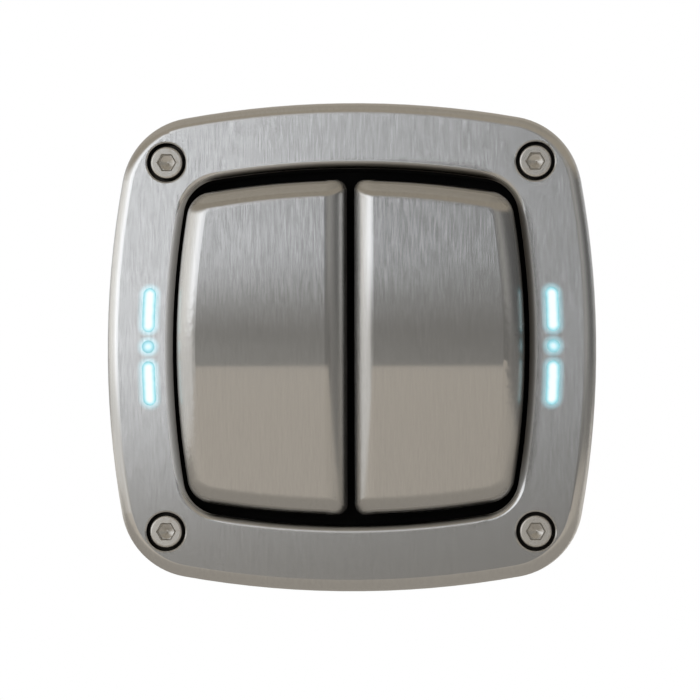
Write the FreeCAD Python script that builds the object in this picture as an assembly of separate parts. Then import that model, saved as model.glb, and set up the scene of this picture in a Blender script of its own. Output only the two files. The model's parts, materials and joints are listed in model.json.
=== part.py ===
import FreeCAD, Part
import math
import os

from FreeCAD import Vector

# Two-gang rocker wall switch with a brushed steel cover plate, for a 60 mm wall box.
# X points right, Z up and Y into the wall. The wall's surface is y = 0 and the front faces -Y.
# The origin is the centre of the switch on the wall's surface. All sizes are millimetres.
# Both rockers rest with their lower edge pressed in. Most of the switch is mirrored
# left to right, so the right-hand pieces are built and the left-hand ones mirrored from them.

# An outline with bulging sides: half width at the middle of a side, side radius, corner radius
PLATE_OUTLINE = (41.0, 159.5, 12.9)
OPENING_OUTLINE = (30.0, 140.5, 6.4)

# Cover plate
PLATE_FRONT = -9.0
PLATE_WALL = 2.2
PLATE_RIM = 2.0
PLATE_EDGE_R = 1.9
LIP_R = 1.15
GASKET_PROUD = 0.2

# Corner screws, M3 socket head, in counterbores
SCREW_HALF = 31.0
COUNTERBORE_R = 3.3
COUNTERBORE_DEPTH = 3.3
BOSS_R = 5.0
BOSS_BACK = -4.2
CAP_HEAD_R = 2.75
CAP_HEAD_H = 3.0
M3_R = 1.5
M3_CLEAR_R = 1.7
CAP_SCREW_LENGTH = 4.9
HEX_ACROSS = 2.5
HEX_DEPTH = 1.4
HEX_CHAMFER = 0.24

# Lit indicators beside the rockers: a bar, a dot and a bar on one arc
LIGHT_X = 34.0
LIGHT_ARC_R = 146.0
LIGHT_HALF_W = 1.08
BAR_INNER = 2.45
BAR_OUTER = 9.85
LENS_GAP = 0.04

# Rockers
ROCKER_INNER_X = 0.72
ROCKER_SIDE_GAP = 0.85
ROCKER_END_GAP = 1.9
ROCKER_FRONT = -13.0
ROCKER_BACK = -5.5
ROCKER_CROWN_R = 670.0
ROCKER_EDGE_R = 3.4
ROCKER_OUTER_CORNER_R = 4.5
ROCKER_INNER_CORNER_R = 1.8
ROCKER_WALL = 1.2
CARRIER_WALL = 1.4
FIT_GAP = 0.06
RIB_X = (9.0, 18.0)
RIB_HALF_L = 24.0

# Rocker pivots, along X, and the tilt that the rockers rest at
PIVOT_Y = -5.0
REST_TILT = 2.25
PIN_R = 1.0
PIN_RUNNING = 0.05
HUB_R = 1.9
HUB_X = (6.2, 19.8)
LUG_X = (4.0, 22.0)
LUG_W = 2.0
LUG_R = 2.0

# Steel mounting frame
FRAME_OUTLINE = (38.5, 157.0, 10.4)
FRAME_BACK = -GASKET_PROUD
FRAME_THICK = 1.5
FRAME_FRONT = FRAME_BACK - FRAME_THICK
FRAME_OPENING = (17.0, 20.5)
BOX_SCREW_X = 30.0
SLOT_HALF_W = 1.7
SLOT_LENGTH = 7.0

# Insert: cover in front of the frame, base and back plate in the wall box
COVER_FRONT = -2.8
BASE_HALF = (21.0, 20.0)
BASE_TRIM_R = 27.5
BASE_DEPTH = 20.0
BACK_THICK = 3.0
POCKET_X = (1.2, 16.9)
POCKET_Z = 17.5
INSERT_SCREW = (19.0, 12.0)
M25_R = 1.25

# Contacts, one changeover set behind each rocker
MECH_X = 11.0
KNIFE_Y = 11.6
LEVER_THICK = 1.0
LEVER_HALF_W = 2.5
LEVER_HALF_L = 9.6
LEVER_TILT = 6.0
CONTACT_Z = 8.0
CONTACT_R = 1.5
CONTACT_H = 0.6
FIXED_FACE_Y = 13.25
TERMINAL_Z = 14.5
WIRE_R = 1.35
WIRE_ENTRY_R = 2.1
TERMINAL_SCREW_Y = 17.0
DRIVER_HOLE_R = 2.2

# Sprung plunger in each rocker's carrier, measured from the pivot
TUBE_R = 2.5
TUBE_BORE_R = 1.75
TUBE_END = 11.5
SPRING_SEAT = 2.0
PLUNGER_R = 1.65
PLUNGER_BACK = 7.6
PLUNGER_NOSE_R = 1.2
PLUNGER_TIP = 15.5
SPRING_R = 1.6
SPRING_WIRE = 0.35

TINY = 0.02


def box(x, y, z):
    """Block between two x, two y and two z values, each given as a (low, high) pair."""
    size = [pair[1] - pair[0] for pair in (x, y, z)]
    return Part.makeBox(*size, Vector(x[0], y[0], z[0]))


def rod_x(y, z, radius, x0, x1):
    return Part.makeCylinder(radius, x1 - x0, Vector(x0, y, z), Vector(1, 0, 0))


def rod_y(x, z, radius, y0, y1):
    return Part.makeCylinder(radius, y1 - y0, Vector(x, y0, z), Vector(0, 1, 0))


def rod_z(x, y, radius, z0, z1):
    return Part.makeCylinder(radius, z1 - z0, Vector(x, y, z0), Vector(0, 0, 1))


def arc(x, z, radius, start, end, y):
    """Arc about (x, z) in the plane at y, from one angle to another, in radians from +X."""
    points = []
    for angle in (start, (start + end) / 2, end):
        points.append(Vector(x + radius * math.cos(angle), y, z + radius * math.sin(angle)))
    return Part.Arc(*points).toShape()


def inset(outline, distance):
    """The same outline, moved evenly inwards."""
    return tuple(size - distance for size in outline)


def bulged_slab(outline, y0, y1):
    """Slab with four bulging sides and round corners, each side tangent to its corners."""
    half, side_r, corner_r = outline
    shift = side_r - half
    reach = side_r - corner_r
    corner = (math.sqrt(2 * reach ** 2 - shift ** 2) - shift) / 2
    lean = math.asin(corner / reach)
    edges = []
    for quarter in range(4):
        turn = quarter * math.pi / 2
        cos, sin = math.cos(turn), math.sin(turn)
        edges.append(arc(-shift * cos, -shift * sin, side_r, turn - lean, turn + lean, y0))
        x, z = corner * (cos - sin), corner * (cos + sin)
        edges.append(arc(x, z, corner_r, turn + lean, turn + math.pi / 2 - lean, y0))
    return Part.Face(Part.Wire(edges)).extrude(Vector(0, y1 - y0, 0))


def arc_strip(x, half_w, z0, z1, y0, y1):
    """Round-ended strip along the indicators' arc, whose middle passes through x at z = 0."""
    radius = LIGHT_ARC_R + x - LIGHT_X
    centre = x - radius
    low, high = (math.asin(z / radius) for z in (z0 + half_w, z1 - half_w))
    top = (centre + radius * math.cos(high), radius * math.sin(high))
    bottom = (centre + radius * math.cos(low), radius * math.sin(low))
    edges = [
        arc(centre, 0, radius + half_w, low, high, y0),
        arc(*top, half_w, high, high + math.pi, y0),
        arc(centre, 0, radius - half_w, high, low, y0),
        arc(*bottom, half_w, low + math.pi, low + 2 * math.pi, y0),
    ]
    return Part.Face(Part.Wire(edges)).extrude(Vector(0, y1 - y0, 0))


def slot_x(x, z, half_w, length, y0, y1):
    """Obround along X, for a slot of the given end-to-end length."""
    run = length / 2 - half_w
    middle = box((x - run, x + run), (y0, y1), (z - half_w, z + half_w))
    return middle.fuse([rod_y(x - run, z, half_w, y0, y1), rod_y(x + run, z, half_w, y0, y1)])


def corners(half_x, half_z):
    return [(x, z) for x in (-half_x, half_x) for z in (-half_z, half_z)]


def solid(shape):
    """The one clean solid that a cut or fuse leaves."""
    found = shape.removeSplitter().Solids
    if len(found) != 1:
        raise ValueError(f"expected one solid, got {len(found)}")
    return found[0]


def mirrored(shape):
    return shape.mirror(Vector(0, 0, 0), Vector(1, 0, 0))


def both_sides(shape):
    return [shape, mirrored(shape)]


def edges_at(shape, test):
    """Edges whose middle point passes the test."""
    found = []
    for edge in shape.Edges:
        middle = edge.valueAt((edge.FirstParameter + edge.LastParameter) / 2)
        if test(middle):
            found.append(edge)
    return found


def save(name, solids):
    """Write one sub-part. A list of solids is a group of identical pieces."""
    shape = solids[0] if len(solids) == 1 else Part.makeCompound(solids)
    shape.exportStep(os.path.join("parts", name + ".step"))


def save_pair(name, solids):
    save("right_" + name, solids)
    save("left_" + name, [mirrored(piece) for piece in solids])


def light_slots(clearance, y0, y1):
    """Bar, dot and bar of the right-hand indicator, each drawn in by the clearance."""
    half_w = LIGHT_HALF_W - clearance
    slots = [rod_y(LIGHT_X, 0, half_w, y0, y1)]
    for low, high in ((BAR_INNER, BAR_OUTER), (-BAR_OUTER, -BAR_INNER)):
        slots.append(arc_strip(LIGHT_X, half_w, low + clearance, high - clearance, y0, y1))
    return slots


# Positions of the bezel's four screws, above and below the opening
BEZEL_SCREWS = corners(12.0, 34.2)
BEZEL_FLANGE = (-5.0, -3.6)
M2_R = 1.0

# Notches in the insert's cover that leave room for the box screws and the light leads
NOTCH_X = 24.3
NOTCH_Z = (-10.4, 5.5)
SHIELD_BACK = -3.75


def front_plate():
    inner_y = PLATE_FRONT + PLATE_WALL
    rim_back = -0.8
    plate = bulged_slab(PLATE_OUTLINE, PLATE_FRONT, rim_back)
    front = edges_at(plate, lambda p: abs(p.y - PLATE_FRONT) < TINY)
    plate = plate.makeFillet(PLATE_EDGE_R, front)
    plate = plate.cut(bulged_slab(inset(PLATE_OUTLINE, PLATE_RIM), inner_y, 0))
    plate = plate.cut(bulged_slab(OPENING_OUTLINE, PLATE_FRONT - 1, 0))
    lip = edges_at(
        plate,
        lambda p: abs(p.y - PLATE_FRONT) < TINY and max(abs(p.x), abs(p.z)) < OPENING_OUTLINE[0] + 1,
    )
    plate = plate.makeFillet(LIP_R, lip)
    bosses = [rod_y(x, z, BOSS_R, inner_y - TINY, BOSS_BACK) for x, z in corners(SCREW_HALF, SCREW_HALF)]
    pads = [rod_y(x, z, 2.3, inner_y - TINY, BEZEL_FLANGE[0]) for x, z in BEZEL_SCREWS]
    envelope = bulged_slab(inset(PLATE_OUTLINE, 0.5), PLATE_FRONT, 0)
    plate = plate.fuse([piece.common(envelope) for piece in bosses + pads])
    holes = []
    for x, z in corners(SCREW_HALF, SCREW_HALF):
        floor = PLATE_FRONT + COUNTERBORE_DEPTH
        holes.append(rod_y(x, z, COUNTERBORE_R, PLATE_FRONT - 1, floor))
        holes.append(Part.makeCone(COUNTERBORE_R + 0.25, COUNTERBORE_R, 0.25,
                                   Vector(x, PLATE_FRONT, z), Vector(0, 1, 0)))
        holes.append(rod_y(x, z, M3_CLEAR_R, floor - 1, BOSS_BACK + 1))
    for x, z in BEZEL_SCREWS:
        holes.append(rod_y(x, z, M2_R + TINY, PLATE_FRONT + 1.0, BEZEL_FLANGE[0] + 1))
    for slot in light_slots(0, PLATE_FRONT - 1, inner_y + 1):
        holes += both_sides(slot)
    return solid(plate.cut(holes))


def hexagon(x, z, y, radius):
    """Closed hexagon facing -Y, with its corners at this radius."""
    points = []
    for corner in range(7):
        angle = corner * math.pi / 3
        points.append(Vector(x + radius * math.cos(angle), y, z + radius * math.sin(angle)))
    return Part.makePolygon(points)


def plate_screw(x, z):
    """M3 socket head cap screw whose head sits on the counterbore's floor."""
    seat = PLATE_FRONT + COUNTERBORE_DEPTH
    top = seat - CAP_HEAD_H
    head = rod_y(x, z, CAP_HEAD_R, top, seat)
    rim = edges_at(head, lambda p: abs(p.y - top) < TINY)
    head = head.makeFillet(0.4, rim)
    shank = rod_y(x, z, M3_R - TINY, seat - 1, seat + CAP_SCREW_LENGTH)
    radius = HEX_ACROSS / math.sqrt(3)
    socket = Part.Face(hexagon(x, z, top - 1, radius)).extrude(Vector(0, 1 + HEX_DEPTH, 0))
    mouth = Part.makeLoft([hexagon(x, z, top - 0.05, radius + HEX_CHAMFER + 0.05),
                           hexagon(x, z, top + HEX_CHAMFER, radius)], True, True)
    point = Part.makeCone(radius - 0.25, 0, 0.5, Vector(x, top + HEX_DEPTH, z), Vector(0, 1, 0))
    return solid(head.fuse(shank).cut([socket, mouth, point]))


def plate_gasket():
    outer = bulged_slab(inset(PLATE_OUTLINE, 0.5), -0.8, 0)
    return solid(outer.cut(bulged_slab(inset(PLATE_OUTLINE, 2.2), -2, 1)))


def rocker_form(inwards, back):
    """Solid form of the right-hand rocker, drawn in evenly on every side but the back.

    Its outer side and its ends are parallel to the opening's bulging sides, and its face is
    crowned about X. It returns the form, still sharp, and the radius of each edge to round."""
    half, side_r, _ = OPENING_OUTLINE
    shift = side_r - half
    inner_x = ROCKER_INNER_X + inwards
    front = ROCKER_FRONT + inwards
    side = side_r - ROCKER_SIDE_GAP - inwards
    end = side_r - ROCKER_END_GAP - inwards
    form = box((inner_x, half), (front - 1, back), (-half, half))
    limits = [
        rod_y(-shift, 0, side, front - 1, back),
        rod_y(0, -shift, end, front - 1, back),
        rod_y(0, shift, end, front - 1, back),
        rod_x(ROCKER_FRONT + ROCKER_CROWN_R, 0, ROCKER_CROWN_R - inwards, 0, half),
    ]
    for limit in limits:
        form = form.common(limit)
    form = solid(form)
    radii = []
    for number, edge in enumerate(form.Edges, start=1):
        middle = edge.valueAt((edge.FirstParameter + edge.LastParameter) / 2)
        if abs(edge.tangentAt(edge.FirstParameter).y) > 0.99:
            sharp = ROCKER_INNER_CORNER_R if middle.x < inner_x + 1 else ROCKER_OUTER_CORNER_R
        elif middle.y < front + 1.5:
            sharp = ROCKER_EDGE_R
        else:
            continue
        radius = max(sharp - inwards, 0.35)
        radii.append((number, radius, radius))
    return form, radii


def rounded_rocker(inwards, back):
    """The rocker's form with its uprights and its front edges rounded in one operation."""
    form, radii = rocker_form(inwards, back)
    document = FreeCAD.newDocument("rocker")
    base = document.addObject("Part::Feature", "form")
    base.Shape = form
    rounded = document.addObject("Part::Fillet", "rounded")
    rounded.Base = base
    rounded.Edges = radii
    document.recompute()
    shape = rounded.Shape.copy()
    FreeCAD.closeDocument(document.Name)
    return solid(shape)


def at_rest(shape):
    """Turn a piece of a rocker from level to its rest tilt, upper end out."""
    return shape.rotate(Vector(0, PIVOT_Y, 0), Vector(1, 0, 0), REST_TILT)


def rocker_cap():
    shell = rounded_rocker(0, ROCKER_BACK)
    return at_rest(solid(shell.cut(rounded_rocker(ROCKER_WALL, ROCKER_BACK + 1))))


def rocker_carrier():
    """Moulded carrier bonded inside the cap, with the pivot hub and the plunger's tube."""
    skin = ROCKER_WALL + FIT_GAP
    back = ROCKER_BACK - 0.7
    body = rounded_rocker(skin, back).cut(rounded_rocker(skin + CARRIER_WALL, back + 1))
    under = ROCKER_FRONT + skin + CARRIER_WALL - 0.1
    hub = rod_x(PIVOT_Y, 0, HUB_R, *HUB_X)
    rib = box(HUB_X, (under, PIVOT_Y), (-0.9, 0.9))
    ribs = [box((x - 0.6, x + 0.6), (under, ROCKER_BACK - 3.0), (-RIB_HALF_L, RIB_HALF_L))
            for x in RIB_X]
    tube = rod_y(MECH_X, 0, TUBE_R, PIVOT_Y, PIVOT_Y + TUBE_END)
    body = body.fuse([hub, rib, tube] + ribs)
    bores = [
        rod_x(PIVOT_Y, 0, PIN_R + PIN_RUNNING, 0, 30),
        rod_y(MECH_X, 0, TUBE_BORE_R, PIVOT_Y + SPRING_SEAT, PIVOT_Y + TUBE_END + 1),
    ]
    return at_rest(solid(body.cut(bores)))


def pivot_pin():
    pin = rod_x(PIVOT_Y, 0, PIN_R, *LUG_X)
    return pin.makeFillet(0.2, edges_at(pin, lambda p: p.x in LUG_X or abs(p.y - PIVOT_Y) > PIN_R / 2))


def plunger():
    """Nylon plunger with a round nose that presses on the contact lever."""
    shank_end = PIVOT_Y + PLUNGER_TIP - 3.2
    nose_end = PIVOT_Y + PLUNGER_TIP - PLUNGER_NOSE_R
    body = rod_y(MECH_X, 0, PLUNGER_R, PIVOT_Y + PLUNGER_BACK, shank_end)
    nose = rod_y(MECH_X, 0, PLUNGER_NOSE_R, shank_end - 1, nose_end)
    tip = Part.makeSphere(PLUNGER_NOSE_R, Vector(MECH_X, nose_end, 0))
    return at_rest(solid(body.fuse([nose, tip])))


def plunger_spring():
    """Sleeve that the coil spring fills, between the tube's seat and the plunger."""
    low = PIVOT_Y + SPRING_SEAT + TINY
    high = PIVOT_Y + PLUNGER_BACK - TINY
    sleeve = rod_y(MECH_X, 0, SPRING_R, low, high)
    return at_rest(solid(sleeve.cut(rod_y(MECH_X, 0, SPRING_R - SPRING_WIRE, low - 1, high + 1))))


def inner_bezel():
    """Black ring that lines the well behind the opening, with ears for its screws.

    A small shield on each side covers the box screw, which sits in a notch of the insert's
    cover, so that no gap shows past the rockers."""
    flange = bulged_slab(inset(OPENING_OUTLINE, -2.4), *BEZEL_FLANGE)
    wall = bulged_slab(inset(OPENING_OUTLINE, -1.6), -6.6, -3.0)
    ears = [rod_y(x, z, 2.6, *BEZEL_FLANGE) for x, z in BEZEL_SCREWS]
    necks = [box((x - 2.6, x + 2.6), BEZEL_FLANGE, sorted((z, z * 0.92))) for x, z in BEZEL_SCREWS]
    ring = flange.fuse([wall] + ears + necks)
    cuts = [bulged_slab(inset(OPENING_OUTLINE, -0.4), -8, 0)]
    cuts += [rod_y(x, z, M2_R + 0.15, -6, -2) for x, z in BEZEL_SCREWS]
    cuts += [rod_y(x, z, BOSS_R + 0.2, -8, 0) for x, z in corners(SCREW_HALF, SCREW_HALF)]
    cuts += both_sides(box((25, 33), (SHIELD_BACK, 0), (NOTCH_Z[0] - 0.5, NOTCH_Z[1] + 0.5)))
    shield = box((NOTCH_X + 0.4, 31.0), (SHIELD_BACK - 0.6, SHIELD_BACK), NOTCH_Z)
    return solid(ring.cut(cuts).fuse(both_sides(shield)))


def bezel_screw(x, z):
    """M2 pan head screw driven from behind into the cover plate's pad."""
    seat = BEZEL_FLANGE[1]
    head = rod_y(x, z, 1.9, seat, seat + 1.2)
    head = head.makeFillet(0.4, edges_at(head, lambda p: abs(p.y - seat - 1.2) < TINY))
    shank = rod_y(x, z, M2_R, PLATE_FRONT + 1.4, seat + 0.5)
    recess = [
        box((x - 1.1, x + 1.1), (seat + 0.5, seat + 2), (z - 0.22, z + 0.22)),
        box((x - 0.22, x + 0.22), (seat + 0.5, seat + 2), (z - 1.1, z + 1.1)),
    ]
    return solid(head.fuse(shank).cut(recess))


# Earth tab, bent back from the lower edge of the frame's opening
TAB_HALF_W = 4.0
TAB_DEPTH = 9.0
EARTH_Y = 5.0
LEAD_HOLE = (25.6, -6.5)
LEAD_HOLE_R = 1.4
STANDOFF_SHANK_R = 1.95


def mounting_frame():
    """Steel plate that carries the insert and is screwed to the wall box through its slots."""
    half_x, half_z = FRAME_OPENING
    frame = bulged_slab(FRAME_OUTLINE, FRAME_FRONT, FRAME_BACK)
    frame = frame.cut(box((-half_x, half_x), (-5, 5), (-half_z, half_z)))
    tab = box((-TAB_HALF_W, TAB_HALF_W), (FRAME_FRONT, TAB_DEPTH), (-half_z - FRAME_THICK, -half_z))
    tab_end = [edge for edge in tab.Edges
               if abs(edge.tangentAt(0).z) > 0.99 and edge.CenterOfMass.y > EARTH_Y]
    frame = frame.fuse(tab.makeFillet(1.5, tab_end))
    cuts = [rod_z(0, EARTH_Y, M3_R + TINY, -half_z - 3, -half_z + 1)]
    for x in (-BOX_SCREW_X, BOX_SCREW_X):
        cuts.append(slot_x(x, 0, SLOT_HALF_W, SLOT_LENGTH, FRAME_FRONT - 1, FRAME_BACK + 1))
    for x, z in corners(SCREW_HALF, SCREW_HALF):
        cuts.append(rod_y(x, z, STANDOFF_SHANK_R, FRAME_FRONT - 1, FRAME_BACK + 1))
    for x, z in corners(*INSERT_SCREW):
        cuts.append(rod_y(x, z, M25_R + 0.1, FRAME_FRONT - 1, FRAME_BACK + 1))
    cuts += both_sides(rod_y(*LEAD_HOLE, LEAD_HOLE_R, FRAME_FRONT - 1, FRAME_BACK + 1))
    return solid(frame.cut(cuts))


def plate_standoff(x, z):
    """M3 threaded standoff, clinched into a corner of the mounting frame."""
    body = rod_y(x, z, 2.3, BOSS_BACK, FRAME_FRONT)
    shank = rod_y(x, z, STANDOFF_SHANK_R, FRAME_FRONT - 1, FRAME_BACK)
    return solid(body.fuse(shank).cut(rod_y(x, z, M3_R, BOSS_BACK - 1, 1)))


def insert_cover():
    """Black moulding over the frame's opening, with the lugs that carry the rocker pins."""
    half_x, half_z = FRAME_OPENING
    flange = bulged_slab(inset(OPENING_OUTLINE, 0.2), COVER_FRONT, FRAME_FRONT)
    spigot = box((-half_x + 0.2, half_x - 0.2), (FRAME_FRONT - 0.2, FRAME_BACK),
                 (-half_z + 0.2, half_z - 0.2))
    lugs = []
    starts = (LUG_X[0], LUG_X[1] - LUG_W)
    for x in starts:
        lugs.append(rod_x(PIVOT_Y, 0, LUG_R, x, x + LUG_W))
        lugs.append(box((x, x + LUG_W), (PIVOT_Y, FRAME_FRONT), (-LUG_R, LUG_R)))
    cover = flange.fuse([spigot] + lugs + [mirrored(lug) for lug in lugs])
    cuts = [rod_x(PIVOT_Y, 0, PIN_R + TINY / 2, -30, 30)]
    window = box((MECH_X - 3.2, MECH_X + 3.2), (-4, 1), (-3.5, 3.5))
    notch = box((NOTCH_X, 31), (-4, 1), NOTCH_Z)
    cuts += both_sides(window) + both_sides(notch)
    for x, z in corners(*INSERT_SCREW):
        cuts.append(rod_y(x, z, M25_R + 0.1, -4, 1))
    return solid(cover.cut(cuts))


def insert_screw(x, z):
    """M2.5 screw that clamps the mounting frame between the cover and the base."""
    seat = COVER_FRONT
    head = rod_y(x, z, 2.2, seat - 1.4, seat)
    head = head.makeFillet(0.5, edges_at(head, lambda p: abs(p.y - seat + 1.4) < TINY))
    shank = rod_y(x, z, M25_R, seat - 0.5, 4.0)
    slot = box((x - 3, x + 3), (seat - 2, seat - 0.8), (z - 0.35, z + 0.35))
    return solid(head.fuse(shank).cut(slot))


def base_form(y0, y1):
    half_x, half_z = BASE_HALF
    block = box((-half_x, half_x), (y0, y1), (-half_z, half_z))
    form = solid(block.common(rod_y(0, 0, BASE_TRIM_R, y0, y1)))
    upright = [edge for edge in form.Edges if abs(edge.tangentAt(edge.FirstParameter).y) > 0.99]
    return form.makeFillet(1.2, upright)


BACK_SCREWS = corners(19.0, 8.5)
WIRE_PLACES = [(x, z) for x in (-MECH_X, MECH_X) for z in (-TERMINAL_Z, 0, TERMINAL_Z)]


def insert_base():
    """Thermoset body in the wall box, with one contact chamber for each rocker."""
    base = base_form(FRAME_BACK, BASE_DEPTH)
    chamber = box(POCKET_X, (-1, BASE_DEPTH + 1), (-POCKET_Z, POCKET_Z))
    corner_cut = []
    for z in (-POCKET_Z, POCKET_Z):
        post = box((POCKET_X[1] - 1.8, POCKET_X[1] + 1), (-2, BASE_DEPTH + 2), (z - 1.6, z + 1.6))
        corner_cut.append(post)
    cuts = both_sides(solid(chamber.cut(corner_cut)))
    for z in (-1, 1):
        hole = rod_z(MECH_X, TERMINAL_SCREW_Y, DRIVER_HOLE_R, *sorted((z * (POCKET_Z - 1), z * 22)))
        cuts += both_sides(hole)
    cuts += both_sides(rod_x(TERMINAL_SCREW_Y, 0, DRIVER_HOLE_R, POCKET_X[1] - 1, 23))
    cuts += both_sides(rod_x(3.0, LEAD_HOLE[1], LEAD_HOLE_R, POCKET_X[1] - 1, 23))
    for x, z in corners(*INSERT_SCREW):
        cuts.append(rod_y(x, z, M25_R + TINY, -1, 6))
    for x, z in BACK_SCREWS:
        cuts.append(rod_y(x, z, M25_R + TINY, BASE_DEPTH - 6, BASE_DEPTH + 1))
    base = base.cut(cuts)
    return solid(base)


def insert_back():
    """Rear plate that closes the chambers and guides the wires into their terminals."""
    back = base_form(BASE_DEPTH, BASE_DEPTH + BACK_THICK)
    rear = edges_at(back, lambda p: abs(p.y - BASE_DEPTH - BACK_THICK) < TINY)
    back = back.makeFillet(0.8, rear)
    cuts = []
    for x, z in WIRE_PLACES:
        cuts.append(rod_y(x, z, WIRE_ENTRY_R, BASE_DEPTH - 1, BASE_DEPTH + BACK_THICK + 1))
    for x, z in BACK_SCREWS:
        cuts.append(rod_y(x, z, M25_R + 0.1, BASE_DEPTH - 1, BASE_DEPTH + BACK_THICK + 1))
        cuts.append(rod_y(x, z, 2.4, BASE_DEPTH + 1.4, BASE_DEPTH + BACK_THICK + 1))
    for x in (-1, 1):
        cuts.append(box(sorted((x * 3.5, x * 6.0)), (BASE_DEPTH + 2.2, BASE_DEPTH + 5), (-15, 15)))
    return solid(back.cut(cuts))


def back_screw(x, z):
    """M2.5 screw, head sunk in the back plate."""
    seat = BASE_DEPTH + 1.4
    head = rod_y(x, z, 2.2, seat, seat + 1.3)
    head = head.makeFillet(0.4, edges_at(head, lambda p: abs(p.y - seat - 1.3) < TINY))
    shank = rod_y(x, z, M25_R, BASE_DEPTH - 5, seat + 0.5)
    slot = box((x - 3, x + 3), (seat + 0.7, seat + 2), (z - 0.35, z + 0.35))
    return solid(head.fuse(shank).cut(slot))


def tipped(shape):
    """Turn a piece of the contact lever from level to its rest position, upper contact closed."""
    return shape.rotate(Vector(0, KNIFE_Y, 0), Vector(1, 0, 0), -LEVER_TILT)


def contact_lever():
    lever = box((MECH_X - LEVER_HALF_W, MECH_X + LEVER_HALF_W), (KNIFE_Y - LEVER_THICK, KNIFE_Y),
                (-LEVER_HALF_L, LEVER_HALF_L))
    ends = [edge for edge in lever.Edges if abs(edge.tangentAt(0).y) > 0.99]
    return tipped(lever.makeFillet(1.2, ends))


def moving_contacts():
    return [tipped(rod_y(MECH_X, z, CONTACT_R, KNIFE_Y, KNIFE_Y + CONTACT_H))
            for z in (-CONTACT_Z, CONTACT_Z)]


def fixed_contacts():
    return [rod_y(MECH_X, z, CONTACT_R, FIXED_FACE_Y, FIXED_FACE_Y + CONTACT_H)
            for z in (-CONTACT_Z, CONTACT_Z)]


TERMINAL_FRONT = FIXED_FACE_Y + CONTACT_H


def common_terminal():
    """Brass block that the lever rocks on, with a knife edge in front and a wire bore behind."""
    block = box((8.0, 14.8), (TERMINAL_FRONT, BASE_DEPTH - TINY), (-2.9, 2.9))
    crest = KNIFE_Y + TINY
    profile = [Vector(8.6, crest, 0), Vector(8.6, TERMINAL_FRONT, 1.6),
               Vector(8.6, TERMINAL_FRONT, -1.6), Vector(8.6, crest, 0)]
    knife = Part.Face(Part.makePolygon(profile)).extrude(Vector(4.8, 0, 0))
    cuts = [
        rod_y(MECH_X, 0, WIRE_R, 15.4, BASE_DEPTH + 1),
        rod_x(TERMINAL_SCREW_Y, 0, M25_R + TINY, MECH_X, 16),
    ]
    return solid(block.fuse(knife).cut(cuts))


def side_terminal(end):
    """Brass block for a switched wire. Its arm reaches under the lever's end: 1 up, -1 down."""
    z_low, z_high = TERMINAL_Z - 2.9, TERMINAL_Z + 2.6
    block = box((8.0, 14.0), (TERMINAL_FRONT, BASE_DEPTH - TINY), sorted((end * z_low, end * z_high)))
    reach = sorted((end * (CONTACT_Z - 1.8), end * (z_low + 0.5)))
    arm = box((8.6, 13.4), (TERMINAL_FRONT, TERMINAL_FRONT + 1.1), reach)
    cuts = [
        rod_y(MECH_X, end * TERMINAL_Z, WIRE_R, 15.4, BASE_DEPTH + 1),
        rod_z(MECH_X, TERMINAL_SCREW_Y, M25_R + TINY, *sorted((end * TERMINAL_Z, end * 19))),
    ]
    return solid(block.fuse(arm).cut(cuts))


def terminal_screws():
    """Slotted clamp screws: one at each end of a chamber and one at its side, backed off."""
    screw = rod_z(0, 0, M25_R, 0, 3.0).fuse(rod_z(0, 0, 1.9, 1.9, 3.7))
    screw = solid(screw.cut(box((-3, 3), (-0.3, 0.3), (2.9, 5))))
    found = []
    for end in (-1, 1):
        piece = screw.copy()
        if end < 0:
            piece.rotate(Vector(0, 0, 0), Vector(0, 1, 0), 180)
        piece.translate(Vector(MECH_X, TERMINAL_SCREW_Y, end * (TERMINAL_Z + 1.5)))
        found += both_sides(piece)
    side = screw.copy()
    side.rotate(Vector(0, 0, 0), Vector(0, 1, 0), 90)
    side.translate(Vector(13.4, TERMINAL_SCREW_Y, 0))
    return found + both_sides(side)


# Light modules on the back of the cover plate
GUIDE_BACK = -5.6
BOARD = (-4.6, -3.8)
POST_Z = 13.4


def light_guide():
    """Clear moulding whose bar, dot and bar fill the cover plate's slots flush with its face."""
    guide = arc_strip(LIGHT_X, 1.3, -15.0, 15.0, PLATE_FRONT + PLATE_WALL + TINY, GUIDE_BACK)
    lenses = light_slots(LENS_GAP, PLATE_FRONT, GUIDE_BACK - 0.5)
    drop = POST_Z ** 2 / (2 * LIGHT_ARC_R)
    posts = [rod_y(LIGHT_X - drop, z, 0.7, GUIDE_BACK - 0.5, BOARD[1] + 0.4) for z in (-POST_Z, POST_Z)]
    return solid(guide.fuse(lenses + posts))


def led_board():
    board = arc_strip(LIGHT_X + 0.5, 1.9, -16.0, 16.0, *BOARD)
    drop = POST_Z ** 2 / (2 * LIGHT_ARC_R)
    holes = [rod_y(LIGHT_X - drop, z, 0.75, BOARD[0] - 1, BOARD[1] + 1) for z in (-POST_Z, POST_Z)]
    return solid(board.cut(holes))


def leds():
    """Three lamps behind each bar and one behind the dot."""
    found = []
    for z in (-8.4, -6.15, -3.9, 0, 3.9, 6.15, 8.4):
        x = LIGHT_X - z ** 2 / (2 * LIGHT_ARC_R)
        found.append(box((x - 0.7, x + 0.7), (BOARD[0] - 0.8, BOARD[0]), (z - 0.8, z + 0.8)))
    return found


LEAD_R = 0.4


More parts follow.
